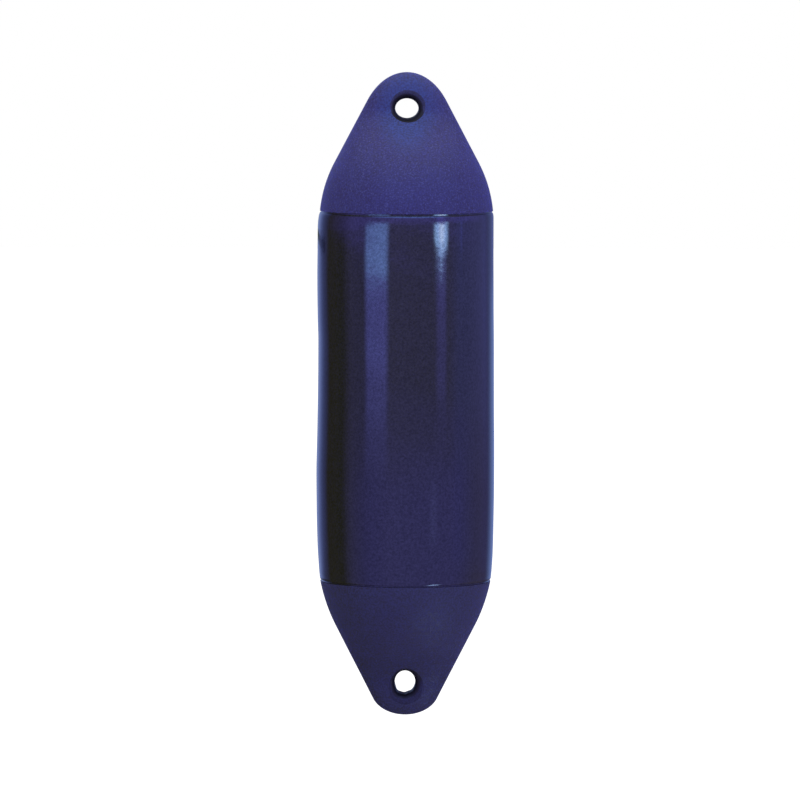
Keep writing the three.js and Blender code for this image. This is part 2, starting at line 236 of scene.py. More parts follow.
# Camera and studio, in metres and degrees
CAMERA_DISTANCE = 7.7
CAMERA_ELEVATION = 3.8
CAMERA_ROLL = 0.18
LENS = 371.7
AIM_X = -0.0055
AIM_Z = -0.0056
FLOOR_Z = CAD_LOW.z - 0.14
FLOOR_REACH = 12
FLOOR_ALBEDO = 0.5
AMBIENT = 0.36
RING_COLOURS = "ring_colours"
RING_HUB = 0.02
RING_REACH = 2.6
RING_TOP = 2.4
RING_FLOOR_Z = FLOOR_Z + 0.01
RING_STEPS = 360
RING_WALL_ROWS = (  # from, to, and the number of rows between
    (RING_FLOOR_Z, -0.36, 26), (-0.36, -0.19, 68), (-0.19, RING_TOP, 82),
)
RING_FLOOR_ROWS = 26
RING_FLAG_EDGE = (-72, -92)
RING_GREY = (0.84, 0.70, 1.10)
RING_LEVELS = (  # bearing, and share of the grey
    (-88, 0.74), (-55, 0.76), (-20, 1), (60, 0.88),
    (94, 0.66), (115, 0.45), (140, 0.14), (180, 0.1),
)
RING_FLAG_GREY = (0.27, 0.24, 0.08)
RING_FLAG_LEVELS = ((-180, 0.1), (-140, 0.2), (-120, 0.6), (-100, 1), (-88, 1.1))
# Glows on the ring: colour, then where each comes on from the left, the right, below and above,
# each as where it is off and where it is full. Bearings are in degrees. Heights under the floor's
# are on the ring's floor, counted on from the wall inwards.
RING_GLOWS = (
    # The soft left band, and its brighter top
    ((0.95, 0.85, 3.4), (-57, -49), (-20, -29), (-0.56, -0.27), (-0.184, -0.193)),
    ((1.25, 2.65, 4.0), (-57, -49), (-20, -29), (-0.275, -0.235), (-0.184, -0.193)),
    # The left rim, its bluer edge, and a dark notch in it
    ((0.33, 0.44, 0.85), (-122, -160), (-190, -160), (-2.9, -0.7), (1.2, 0.9)),
    ((0.07, 0.1, 0.46), (-117, -128), (-172, -140), (-2.9, -0.7), (1.2, 0.9)),
    ((-0.3, -0.4, -0.9), (-124, -134), (-190, -160), (-0.240, -0.236), (-0.222, -0.226)),
    # The right rim, and its stronger lower part
    ((0.11, 0.18, 0.54), (128, 142), (190, 155), (-2.9, -0.7), (1.2, 0.9)),
    ((0.1, 0.18, 0.33), (134, 150), (190, 155), (-2.9, -0.7), (-0.26, -0.34)),
    # A thin line right of the strong highlight
    ((0.15, 0.2, 1.2), (74, 76), (79, 77), (-0.24, -0.22), (-0.182, -0.187)),
    # Along the upper seam: a glow below it, and a blue line in it
    ((0.4, 0.25, 1.8), (-130, -55), (130, 60), (-0.206, -0.182), (1.2, 0.9)),
    ((1.2, 2.0, 6.0), (-60, -32), (72, 44), (0.6, 1.5), (2.6, 2.5)),
    # Along the lower seam: a glint, and a low glow above it
    ((8, 10.5, 15), (35, 39), (51, 47), (-3.17, -3.1), (-2.85, -2.95)),
    ((0.15, 0.1, 1.0), (-90, -40), (110, 55), (-3.3, -3.2), (-0.34, -0.60)),
    # The tail of the strong highlight, and a faint patch far below it
    ((0.5, 0.4, 1.9), (36, 44), (56, 50), (-0.50, -0.24), (1.2, 0.9)),
    ((0.25, 0.25, 0.55), (29, 35), (43, 37), (-0.74, -0.66), (-0.52, -0.60)),
    # The blue right side, and its stronger top
    ((0.0, 0.02, 0.3), (55, 75), (142, 124), (-2.9, -0.9), (1.2, 0.9)),
    ((0.09, 0.13, 0.46), (50, 75), (140, 122), (-0.60, -0.25), (1.2, 0.9)),
)


# The form of the ends and the barrel
def outline_of(end):
    """Half widths and heights of an end's front view, as a taut string round shoulder and tip."""
    turn = np.linspace(end.rim_lean, math.pi / 2, OUTLINE_SAMPLES)
    across, along = np.cos(turn), np.sin(turn)
    middle_x = end.rim_radius - end.shoulder_radius * math.cos(end.rim_lean)
    middle_h = -end.shoulder_radius * math.sin(end.rim_lean)
    tip_h = end.rise - end.tip_half_height
    shoulder_reach = middle_x * across + middle_h * along + end.shoulder_radius
    tip_reach = np.hypot(end.tip_half_width * across, end.tip_half_height * along)
    on_tip = np.maximum.accumulate(tip_h * along + tip_reach >= shoulder_reach)
    shoulder = middle_x + end.shoulder_radius * across, middle_h + end.shoulder_radius * along
    tip_x = end.tip_half_width**2 * across / tip_reach
    tip = tip_x, tip_h + end.tip_half_height**2 * along / tip_reach
    x, h = np.where(on_tip, tip, shoulder)
    x[0], h[0] = end.rim_radius, 0
    x[-1], h[-1] = 0, end.rise
    return x, h


def half_width(end, h):
    """Half the width of an end's front view at a height."""
    outline_x, outline_h = outline_of(end)
    return np.interp(h, outline_h, outline_x)


def bulge(share, squareness):
    """The height of a superellipse of unit size at a share of its half width."""
    return (1 - np.clip(share, 0, 1) ** squareness) ** (1 / squareness)


def dome_share(h):
    """How much of its full depth the dome has at a height over the seam."""
    return 1 - np.maximum(0, (h + DOME_DROP) / (DOME_RISE + DOME_DROP)) ** DOME_FULLNESS


def half_thickness(end, h):
    """Half the thickness of an end on its middle line: the dome and the lug, melted together."""
    dome = end.rim_radius * dome_share(h) / dome_share(0)
    over_eye = np.maximum(0, h - end.eye_height) / (end.rise - end.eye_height)
    lug = LUG_THICKNESS / 2 * bulge(over_eye, LUG_SQUARENESS)
    nearness = np.maximum(0, 1 - np.abs(dome - lug) / LUG_FILLET)
    return np.maximum(dome, lug) + LUG_FILLET / 4 * nearness**2


def face_depth(end, x, h):
    """Half the thickness of an end at any point of its front view."""
    width = np.maximum(half_width(end, h), 1e-9)
    t = np.clip(h / end.eye_height, 0, 1)
    squareness = 2 + (LUG_SQUARENESS - 2) * t * t * (3 - 2 * t)
    return half_thickness(end, h) * bulge(np.abs(x) / width, squareness)


def half_circle(radius):
    """Points (x, depth, 0) round half a circle, from its right to its left."""
    angle = np.linspace(0, math.pi, SEAM_STEPS + 1)
    return np.stack([radius * np.cos(angle), radius * np.sin(angle), 0 * angle], axis=1)


def face_edge(end):
    """The edge of an end's face: up the outline to the tip, down to the seam and back round it."""
    x, h = outline_of(end)
    reach = np.concatenate([[0], np.cumsum(np.hypot(np.diff(x), np.diff(h)))])
    spaced = np.linspace(0, reach[-1], OUTLINE_STEPS // 2 + 1)
    right = np.stack([np.interp(spaced, reach, x), 0 * spaced, np.interp(spaced, reach, h)], axis=1)
    left = right[1:-1][::-1] * (-1, 1, 1)
    seam = half_circle(end.rim_radius)[1:][::-1]
    return np.concatenate([right, left, seam])


def eye_reach(end, bearing):
    """How far the eye's bore reaches at a bearing from its middle."""
    across, along = np.cos(bearing), np.sin(bearing)
    reach = 1 / np.hypot(across / end.eye_half_width, along / end.eye_half_height)
    for middle, width, dent in end.eye_dents:
        reach = reach + dent * np.exp(-(((np.degrees(bearing) - middle) / width) ** 2))
    return reach


def face_rings(end):
    """Rings of points (x, depth, height) from an end's edge inwards over the lip to the bore."""
    edge = face_edge(end)
    bearing = np.arctan2(edge[:, 2] - end.eye_height, edge[:, 0])
    edge_reach = np.hypot(edge[:, 0], edge[:, 2] - end.eye_height)
    bore = eye_reach(end, bearing)

    def ring(reach, drop):
        x = reach * np.cos(bearing)
        h = end.eye_height + reach * np.sin(bearing)
        return np.stack([x, face_depth(end, x, h) - drop, h], axis=1)

    lip = end.lip_width + end.lip_lean * np.sin(bearing) + end.lip_side * np.cos(bearing)
    rings = [edge]
    for i in range(1, FACE_STEPS + 1):
        inwards = 1 - math.cos(i / FACE_STEPS * math.pi / 2)
        rings.append(ring(edge_reach + (bore + lip - edge_reach) * inwards, 0))
    for i in range(1, LIP_STEPS + 1):
        turn = i / LIP_STEPS * math.pi / 2
        rings.append(ring(bore + lip * (1 - math.sin(turn)), LIP_DEPTH * (1 - math.cos(turn))))
    return rings


def end_rings(end):
    """An end's whole surface, from its front edge through the eye to its back edge."""
    front, back = [], []
    for ring in face_rings(end):
        z = end.seam_z + end.up * ring[:, 2]
        front.append(np.stack([ring[:, 0], -ring[:, 1], z], axis=1))
        back.append(np.stack([ring[:, 0], ring[:, 1], z], axis=1))
    return front + back[::-1]


def barrel_edge(rim_radius, edge_height):
    """From a seam over its groove and round the barrel's edge, as (radius, distance)."""
    floor = rim_radius - GROOVE_DEPTH
    turn = np.linspace(0, math.pi / 2, EDGE_STEPS + 1)
    radius = floor + (GROOVE_DEPTH + BARREL_STEP) * np.sin(turn)
    distance = GROOVE_WIDTH + edge_height * (1 - np.cos(turn))
    start = [[rim_radius, 0], [floor, GROOVE_SLOPE]]
    return np.concatenate([start, np.stack([radius, distance], axis=1)])


def smooth_curve(stations, count):
    """Evenly spaced points on a curve that passes smoothly through its stations."""
    p = np.array([stations[0], *stations, stations[-1]], float)
    t = np.linspace(0, 1, CURVE_SAMPLES, endpoint=False)[:, None]
    pieces = []
    for before, a, b, after in zip(p, p[1:], p[2:], p[3:]):
        leave, arrive = (b - before) / 2, (after - a) / 2
        cubic = (2 * a - 2 * b + leave + arrive) * t**3
        square = (-3 * a + 3 * b - 2 * leave - arrive) * t**2
        pieces.append(cubic + square + leave * t + a)
    curve = np.concatenate([*pieces, p[-1:]])
    reach = np.concatenate([[0], np.cumsum(np.hypot(*np.diff(curve, axis=0).T))])
    spaced = np.linspace(0, reach[-1], count)
    return np.stack([np.interp(spaced, reach, curve[:, i]) for i in range(2)], axis=1)


def barrel_profile():
    """The barrel's profile, as points (radius, z), from the upper seam to the lower one."""
    upper = barrel_edge(UPPER.rim_radius, UPPER_BARREL_EDGE) * (1, -1) + (0, UPPER.seam_z)
    lower = barrel_edge(LOWER.rim_radius, LOWER_BARREL_EDGE) + (0, LOWER.seam_z)
    side = [(radius, UPPER.seam_z - below) for below, radius in BARREL_STATIONS]
    stations = [upper[-1], *side, lower[-1]]
    return np.concatenate([upper, smooth_curve(stations, BARREL_STEPS)[1:-1], lower[::-1]])


def barrel_rings():
    """Rings of points round the barrel, numbered like an end's, from the upper seam downwards."""
    rings = []
    for radius, z in barrel_profile():
        front = half_circle(radius) * (1, -1, 0) + (0, 0, z)
        back = front[1:-1][::-1] * (1, -1, 1)
        rings.append(np.concatenate([front, back]))
    return rings


# Mesh pieces
def full_turn(count):
    return np.linspace(0, 2 * math.pi, count, endpoint=False)


def band(here, there, count):
    """Quads between two rings of count points each, numbered from here and from there."""
    k = np.arange(count)
    following = (k + 1) % count
    return np.stack([here + k, here + following, there + following, there + k], axis=1)


def skin(first, ring_count, count):
    """Quads between neighbouring rings of count points each, numbered from first."""
    starts = first + count * np.arange(ring_count)
    return np.concatenate([band(here, there, count) for here, there in zip(starts, starts[1:])])


def lids(ring_count, count):
    """Flat faces over the first and the last of some rings of count points each."""
    last = (ring_count - 1) * count
    return [range(count)[::-1], range(last, last + count)]


def mesh_piece(name, points, faces, materials, material_index=None):
    """A mesh object in metres from points in millimetres."""
    mesh = bpy.data.meshes.new(name)
    mesh.from_pydata((np.asarray(points) * MM).tolist(), [], [list(face) for face in faces])
    for material in materials:
        mesh.materials.append(material)
    if material_index is not None:
        mesh.polygons.foreach_set("material_index", material_index)
    piece = bpy.data.objects.new(name, mesh)
    bpy.context.scene.collection.objects.link(piece)
    return piece


def weld(piece):
    """Joins points that lie on each other, so that the patches become one closed surface."""
    work = bmesh.new()
    work.from_mesh(piece.data)
    bmesh.ops.remove_doubles(work, verts=work.verts, dist=WELD_DISTANCE * MM)
    work.to_mesh(piece.data)
    work.free()


def tidy_normals(piece):
    """Turns all the faces of a closed mesh outwards."""
    work = bmesh.new()
    work.from_mesh(piece.data)
    bmesh.ops.recalc_face_normals(work, faces=work.faces)
    work.to_mesh(piece.data)
    work.free()


def shade(piece):
    """Smooth shading that keeps the sharp edges."""
    piece.data.shade_smooth()
    piece.data.set_sharp_from_angle(angle=math.radians(CREASE_DEGREES))


def cut(piece, cutter):
    """Cuts one closed mesh from another."""
    change = piece.modifiers.new("cut", "BOOLEAN")
    change.object = cutter
    change.solver = "EXACT"
    shown = piece.evaluated_get(bpy.context.evaluated_depsgraph_get())
    cut_mesh = bpy.data.meshes.new_from_object(shown)
    piece.modifiers.clear()
    old = piece.data
    piece.data = cut_mesh
    bpy.data.meshes.remove(old)
    bpy.data.objects.remove(cutter)


def turned(name, section, materials, closed=False):
    """A piece turned round Z from the corners (radius, level) of its section.

    An open section starts and ends on the axis. A closed one goes round a ring.
    """
    corners = section if closed else section[1:-1]
    angle = full_turn(TURNED_STEPS)
    points = [(r * math.cos(a), r * math.sin(a), z) for r, z in corners for a in angle]
    faces = list(skin(0, len(corners), TURNED_STEPS))
    if closed:
        faces.extend(band((len(corners) - 1) * TURNED_STEPS, 0, TURNED_STEPS))
    else:
        faces.extend(lids(len(corners), TURNED_STEPS))
    return mesh_piece(name, points, faces, materials)


# The valve
def rounded(corners, radius):
    """A section's corners (radius, level, whether rounded) with the marked ones rounded off."""
    points = []
    count = len(corners)
    for i, (r, z, is_round) in enumerate(corners):
        if not is_round:
            points.append((r, z))
            continue
        here = np.array((r, z))
        before = np.array(corners[i - 1][:2]) - here
        after = np.array(corners[(i + 1) % count][:2]) - here
        start = here + before / np.hypot(*before) * radius
        end = here + after / np.hypot(*after) * radius
        for t in np.linspace(0, 1, ROUNDING_STEPS + 1):
            points.append(tuple((1 - t) ** 2 * start + 2 * t * (1 - t) * here + t * t * end))
    return points


def pocket_cutter():
    """What the valve's seat takes out of the moulding."""
    hole = STEM_RADIUS + BARB_HEIGHT + SEAT_GAP
    seat = FLANGE_RADIUS + SEAT_GAP
    spot = seat + SPOT_FACE_RIM
    outside = 2 * SPOT_FACE_DEPTH
    section = [
        (0, STEM_FOOT - SEAT_GAP),
        (hole, STEM_FOOT - SEAT_GAP),
        (hole, FLANGE_FOOT - SEAT_GAP),
        (seat, FLANGE_FOOT - SEAT_GAP),
        (seat, -EDGE_BREAK),
        (seat + EDGE_BREAK, 0),
        (spot - SPOT_FILLET, 0),
        (spot, SPOT_FILLET),
        (spot, outside),
        (0, outside),
    ]
    cutter = turned("pocket_cutter", section, [])
    tidy_normals(cutter)
    return cutter


def insert_piece(material):
    """A flange with a well for the plug's head, and a barbed stem with a port through it."""
    pitch = STEM_LENGTH / (BARB_COUNT + 1)
    section = [(PORT_RADIUS, STEM_FOOT, True)]
    for i in range(BARB_COUNT):
        foot = STEM_FOOT + i * pitch
        section += [(STEM_RADIUS, foot, False), (STEM_RADIUS + BARB_HEIGHT, foot + pitch, False)]
    groove = WELL_RADIUS + FLANGE_RIM / 2
    inner, outer = groove - FLANGE_GROOVE_WIDTH / 2, groove + FLANGE_GROOVE_WIDTH / 2
    groove_floor = FLANGE_PROUD - FLANGE_GROOVE_DEPTH
    section += [
        (STEM_RADIUS, STEM_FOOT + BARB_COUNT * pitch, False),
        (STEM_RADIUS, FLANGE_FOOT, False),
        (FLANGE_RADIUS, FLANGE_FOOT, True),
        (FLANGE_RADIUS, FLANGE_PROUD, True),
        (outer, FLANGE_PROUD, True),
        (outer, groove_floor, False),
        (inner, groove_floor, False),
        (inner, FLANGE_PROUD, True),
        (WELL_RADIUS, FLANGE_PROUD, True),
        (WELL_RADIUS, WELL_FLOOR, False),
        (PORT_RADIUS, WELL_FLOOR, True),
    ]
    return turned("valve_insert_fine", rounded(section, EDGE_BREAK / 2), [material], closed=True)


def seal_piece(material):
    """A sealing ring with a full round section, a little flattened by the plug's head."""
    middle = (PORT_RADIUS + SEAL_RADIUS) / 2
    level = SEAL_FOOT + SEAL_THICKNESS / 2
    section = []
    for turn in full_turn(SEAL_STEPS):
        c, s = math.cos(turn), math.sin(turn)
        across = math.copysign(abs(c) ** SEAL_SQUARENESS, c) * SEAL_WIDTH / 2
        along = math.copysign(abs(s) ** SEAL_SQUARENESS, s) * SEAL_THICKNESS / 2
        section.append((middle + across, level + along))
    return turned("valve_seal_fine", section, [material], closed=True)


def plug_piece(material):
    """A threaded shank under a crowned head, with a coin slot across the head."""
    foot = STEM_FOOT + PLUG_SHANK_SHORT
    levels = np.linspace(foot + EDGE_BREAK, HEAD_FOOT - THREAD_RUNOUT, THREAD_ROWS)
    angle = full_turn(SHANK_STEPS)
    fade = np.clip((levels - levels[0]) / THREAD_PITCH, 0, 1)
    fade = fade * np.clip((levels[-1] - levels) / THREAD_PITCH, 0, 1)
    rows = [(PLUG_SHANK_RADIUS - THREAD_DEPTH - EDGE_BREAK + 0 * angle, foot + 0 * angle)]
    for level, share in zip(levels, fade):
        phase = (level / THREAD_PITCH - angle / (2 * math.pi)) % 1
        crest = np.clip(THREAD_CREST * (1 - 2 * np.abs(phase - 0.5)), 0, 1) * share
        rows.append((PLUG_SHANK_RADIUS - THREAD_DEPTH * (1 - crest), level + 0 * angle))
    head = rounded(
        [
            (PLUG_SHANK_RADIUS - THREAD_DEPTH, HEAD_FOOT, False),
            (PLUG_HEAD_RADIUS, HEAD_FOOT, True),
            (PLUG_HEAD_RADIUS, HEAD_TOP - HEAD_CROWN, True),
            (PLUG_HEAD_RADIUS - HEAD_CROWN_RIM, HEAD_TOP, True),
            (0, HEAD_TOP, False),
        ],
        EDGE_BREAK / 2,
    )[:-1]
    rows += [(r + 0 * angle, z + 0 * angle) for r, z in head]
    points = [
        (r * math.cos(a), r * math.sin(a), z)
        for radii, heights in rows
        for r, z, a in zip(radii, heights, angle)
    ]
    faces = [*skin(0, len(rows), SHANK_STEPS), *lids(len(rows), SHANK_STEPS)]
    plug = mesh_piece("valve_plug_fine", points, faces, [material])
    cut(plug, slot_cutter())
    return plug


def slot_cutter():
    """The coin slot's cutter, with a rounded floor, as a coin's edge leaves it."""
    half = COIN_SLOT_WIDTH / 2
    reach = 1.5 * PLUG_HEAD_RADIUS
    bottom = HEAD_TOP - (PLUG_HEAD_HEIGHT - COIN_SLOT_FLOOR)
    section = [(half, HEAD_TOP + 1), (-half, HEAD_TOP + 1)]
    for turn in np.linspace(math.pi, 2 * math.pi, SLOT_FLOOR_POINTS):
        section.append((half * math.cos(turn), bottom + half * (1 + math.sin(turn))))
    points = [(x, y, z) for x in (-reach, reach) for y, z in section]
    faces = [*skin(0, 2, len(section)), *lids(2, len(section))]
    cutter = mesh_piece("slot_cutter", points, faces, [])
    tidy_normals(cutter)
    return cutter


# Materials. Texture scales are repeats per metre, because object coordinates are in metres.
def new_material(name):
    """A material, with its nodes, its links and its shader."""
    material = bpy.data.materials.new(name)
    material.use_nodes = True
    nodes, links = material.node_tree.nodes, material.node_tree.links
    return material, nodes, links, nodes["Principled BSDF"]


def noise(nodes, links, scale, detail, stretch=(1, 1, 1)):
    """The value of a noise texture in object coordinates."""
    place = nodes.new("ShaderNodeTexCoord")
    mapping = nodes.new("ShaderNodeMapping")
    mapping.inputs["Scale"].default_value = stretch
    texture = nodes.new("ShaderNodeTexNoise")
    texture.inputs["Scale"].default_value = scale
    texture.inputs["Detail"].default_value = detail
    links.new(place.outputs["Object"], mapping.inputs["Vector"])
    links.new(mapping.outputs["Vector"], texture.inputs["Vector"])
    return texture.outputs["Fac"]


def spread(nodes, links, value, low, high, middle=0.12):
    """Maps the middle of a noise's range to low..high."""
    span = nodes.new("ShaderNodeMapRange")
    span.inputs["From Min"].default_value = 0.5 - middle
    span.inputs["From Max"].default_value = 0.5 + middle
    span.inputs["To Min"].default_value = low
    span.inputs["To Max"].default_value = high
    links.new(value, span.inputs["Value"])
    return span.outputs["Result"]


def blended(nodes, links, factor, first, second):
    """A colour between two others. Either may be a plain colour or an output."""
    mix = nodes.new("ShaderNodeMix")
    mix.data_type = "RGBA"
    links.new(factor, mix.inputs["Factor"])
    for socket, colour in ((mix.inputs["A"], first), (mix.inputs["B"], second)):
        if isinstance(colour, tuple):
            socket.default_value = (*colour, 1)
        else:
            links.new(colour, socket)
    return mix.outputs["Result"]


def bumps(nodes, links, layers):
    """A normal from layers of (height value, height in metres), coarsest first."""
    normal = None
    for height, depth in layers:
        bump = nodes.new("ShaderNodeBump")
        bump.inputs["Distance"].default_value = depth
        links.new(height, bump.inputs["Height"])
        if normal is not None:
            links.new(normal, bump.inputs["Normal"])
        normal = bump.outputs["Normal"]
    return normal


def parts_of(nodes, links, vector):
    """The X, Y and Z of a vector."""
    split = nodes.new("ShaderNodeSeparateXYZ")
    links.new(vector, split.inputs["Vector"])
    return split.outputs


def smooth_share(nodes, links, value, full):
    """0 where a value is 0 or less, 1 from full on, and smooth between."""
    share = nodes.new("ShaderNodeMapRange")
    share.interpolation_type = "SMOOTHSTEP"
    share.inputs["From Max"].default_value = full
    links.new(value, share.inputs["Value"])
    return share.outputs["Result"]


def math_node(nodes, links, operation, first, second=0):
    """The result of an operation on two values. Either may be a number or an output."""
    node = nodes.new("ShaderNodeMath")
    node.operation = operation
    for socket, value in zip(node.inputs, (first, second)):
        if isinstance(value, (int, float)):
            socket.default_value = value
        else:
            links.new(value, socket)
    return node.outputs["Value"]


def eye_nearness(nodes, links):
    """1 near the upper eye's axis, which is the frame's Y axis, and 0 far from it."""
    place = nodes.new("ShaderNodeTexCoord")
    flat = nodes.new("ShaderNodeVectorMath")
    flat.operation = "MULTIPLY"
    flat.inputs[1].default_value = (PAINTED_SHEEN_STRETCH, 0, 1)
    reach = nodes.new("ShaderNodeVectorMath")
    reach.operation = "LENGTH"
    share = nodes.new("ShaderNodeMapRange")
    share.interpolation_type = "SMOOTHSTEP"
    share.inputs["From Min"].default_value = PAINTED_SHEEN_FAR
    share.inputs["From Max"].default_value = PAINTED_SHEEN_NEAR
    links.new(place.outputs["Object"], flat.inputs[0])
    links.new(flat.outputs["Vector"], reach.inputs[0])
    links.new(reach.outputs["Value"], share.inputs["Value"])
    return share.outputs["Result"]


def polished_vinyl():
    """The barrel's vinyl, polished by the mould, with a faint haze and orange peel."""
    material, nodes, links, shader = new_material("polished_vinyl")
    speck = spread(nodes, links, noise(nodes, links, 560, 3), 0, 1, 0.16)
    mottle = spread(nodes, links, noise(nodes, links, 130, 4), 0, 1)
    streaks = noise(nodes, links, 60, 3, (1, 1, 0.04))
    dark = blended(nodes, links, speck, *POLISHED_DARK)
    pale = blended(nodes, links, speck, *POLISHED_PALE)
    links.new(blended(nodes, links, mottle, dark, pale), shader.inputs["Base Color"])
    links.new(spread(nodes, links, streaks, 0.05, 0.09, 0.3), shader.inputs["Roughness"])
    haze = noise(nodes, links, 480, 3)
    links.new(spread(nodes, links, haze, 0.4, 0.6, 0.16), shader.inputs["Specular IOR Level"])
    peel = noise(nodes, links, 160, 2)
    waves = noise(nodes, links, 22, 1, (1, 1, 0.5))
    links.new(bumps(nodes, links, [(waves, 0.00016), (peel, 0.00002)]), shader.inputs["Normal"])
    shader.inputs["IOR"].default_value = 1.47
    shader.inputs["Specular Tint"].default_value = (0.72, 0.84, 1.0, 1)
    return material


def matt_vinyl():
    """Finely grained vinyl, flecked with painted sparkle, bluer round the upper eye from a painted
    sheen, and greyer low down from painted shade.
    """
    material, nodes, links, shader = new_material("matt_vinyl")
    grain = noise(nodes, links, 580, 2)
    speckle = spread(nodes, links, grain, 0, 1, 0.14)
    # Pale flecks of painted sparkle, scattered through the grain
    painted_sparkle = spread(nodes, links, noise(nodes, links, 700, 1), -3.4, 1.6, 0.2)
    cloud = spread(nodes, links, noise(nodes, links, 42, 4), 0, 1)
    dark = blended(nodes, links, speckle, *MATT_DARK)
    pale = blended(nodes, links, speckle, *MATT_PALE)
    clouded = blended(nodes, links, cloud, dark, pale)
    plain = blended(nodes, links, painted_sparkle, clouded, MATT_PAINTED_SPARKLE)
    place = nodes.new("ShaderNodeTexCoord")
    height = parts_of(nodes, links, place.outputs["Object"])["Z"]
    # Painted shade makes the low end greyer and less blue
    below = math_node(nodes, links, "SUBTRACT", PAINTED_SHADE_TOP, height)
    painted_shade_share = smooth_share(nodes, links, below, PAINTED_SHADE_FADE)
    with_painted_shade = blended(nodes, links, painted_shade_share, plain, blended(nodes, links, speckle, *MATT_PAINTED_LOW_SHADE))
    # A painted sheen makes the vinyl bluer round the upper eye
    painted_sheen = blended(nodes, links, speckle, *MATT_PAINTED_SHEEN)
    base = blended(nodes, links, eye_nearness(nodes, links), with_painted_shade, painted_sheen)
    links.new(base, shader.inputs["Base Color"])
    links.new(spread(nodes, links, grain, 0.52, 0.72), shader.inputs["Roughness"])
    pores = noise(nodes, links, 520, 3)
    links.new(bumps(nodes, links, [(pores, 0.0003), (grain, 0.0002)]), shader.inputs["Normal"])
    shader.inputs["IOR"].default_value = 1.45
    shader.inputs["Specular IOR Level"].default_value = 0.38
    shader.inputs["Diffuse Roughness"].default_value = 0.6
    shader.inputs["Specular Tint"].default_value = (0.85, 0.9, 1.0, 1)
    return material


def satin_vinyl():
    """The vinyl of the eyes' flares, satin and dark, which painted shade darkens further as it turns
    into the bores.
    """
    material, nodes, links, shader = new_material("satin_vinyl")
    speck = spread(nodes, links, noise(nodes, links, 800, 3), 0, 1)
    outside = blended(nodes, links, speck, *FLARE_OUTSIDE)
    # Painted shade, which deepens as the flare turns away from facing forwards into its bore
    inside = blended(nodes, links, speck, *FLARE_PAINTED_BORE_SHADE)
    place = nodes.new("ShaderNodeTexCoord")
    normal_y = parts_of(nodes, links, place.outputs["Normal"])["Y"]
    facing = math_node(nodes, links, "ABSOLUTE", normal_y)
    turned_in = math_node(nodes, links, "SUBTRACT", FLARE_FACING, facing)
    share = smooth_share(nodes, links, turned_in, FLARE_FADE)
    links.new(blended(nodes, links, share, outside, inside), shader.inputs["Base Color"])
    wear = noise(nodes, links, 300, 3)
    links.new(spread(nodes, links, wear, 0.42, 0.56), shader.inputs["Roughness"])
    pores = noise(nodes, links, 420, 3)
    links.new(bumps(nodes, links, [(pores, 0.00012)]), shader.inputs["Normal"])
    shader.inputs["IOR"].default_value = 1.45
    shader.inputs["Specular IOR Level"].default_value = 0.2
    return material


def moulded_plastic():
    material, nodes, links, shader = new_material("moulded_plastic")
    grain = noise(nodes, links, 1600, 2)
    cloud = spread(nodes, links, noise(nodes, links, 120, 3), 0, 1)
    base = blended(nodes, links, cloud, (0.017, 0.018, 0.052), (0.024, 0.025, 0.07))
    links.new(base, shader.inputs["Base Color"])
    links.new(spread(nodes, links, grain, 0.32, 0.46), shader.inputs["Roughness"])
    links.new(bumps(nodes, links, [(grain, 0.00003)]), shader.inputs["Normal"])
    shader.inputs["IOR"].default_value = 1.53
    return material


def rubber():
    material, nodes, links, shader = new_material("rubber")
    grain = noise(nodes, links, 2200, 2)
    dust = spread(nodes, links, noise(nodes, links, 300, 3), 0, 1)
    base = blended(nodes, links, dust, (0.008, 0.008, 0.008), (0.014, 0.014, 0.015))
    links.new(base, shader.inputs["Base Color"])
    links.new(spread(nodes, links, grain, 0.6, 0.8), shader.inputs["Roughness"])
    links.new(bumps(nodes, links, [(grain, 0.00003)]), shader.inputs["Normal"])
    return material


# The moulding. A finish is the place of its material in the moulding's list of them.
MATT_FINISH, POLISHED_FINISH, SATIN_FINISH = range(3)


def side_bulge(angle, z):
    """How far out the barrel stands beyond its profile, in millimetres.

    The skin is thin and soft, so it is a little wavy, and most of all on its left side.
    """
    left = np.clip(-np.cos(angle), 0, 1) ** 3 * np.interp(z, *np.transpose(LEFT_BULGES))
    waves = sum(
        size * np.sin(2 * math.pi * z / length + turns * angle + start)
        for size, length, turns, start in SKIN_WAVES
    )
    depth = np.minimum(UPPER.seam_z - z, z - LOWER.seam_z)
    return (left + waves) * np.clip(depth / WAVE_FADE, 0, 1)


def swollen(ring):
    """A ring of the barrel, moved out by the bulges of its skin."""
    angle = np.arctan2(ring[:, 1], ring[:, 0])
    radius = np.hypot(ring[:, 0], ring[:, 1])
    growth = (radius + side_bulge(angle, ring[:, 2])) / radius
    return ring * np.stack([growth, growth, 1 + 0 * growth], axis=1)


def body_mesh():
    """Points, faces and finishes of the moulding, as three patches that meet at the seams.

    The ends are matt, but not their flares and bores, which lie FACE_STEPS bands in from each edge.
    """
    patches = (
        (end_rings(UPPER), False, FACE_STEPS, SATIN_FINISH),
        ([swollen(ring) for ring in barrel_rings()], False, 0, POLISHED_FINISH),
        (end_rings(LOWER), True, FACE_STEPS, SATIN_FINISH),
    )
    points, faces, finishes = [], [], []
    first = 0
    for rings, flipped, matt_bands, finish in patches:
        count = len(rings[0])
        quads = skin(first, len(rings), count)
        first += len(rings) * count
        place = np.arange(len(quads)) // count
        smooth = (place >= matt_bands) & (place <= len(rings) - 2 - matt_bands)
        points.extend(rings)
        faces.append(quads[:, ::-1] if flipped else quads)
        finishes.append(np.where(smooth, finish, MATT_FINISH))
    return np.concatenate(points), np.concatenate(faces), np.concatenate(finishes)


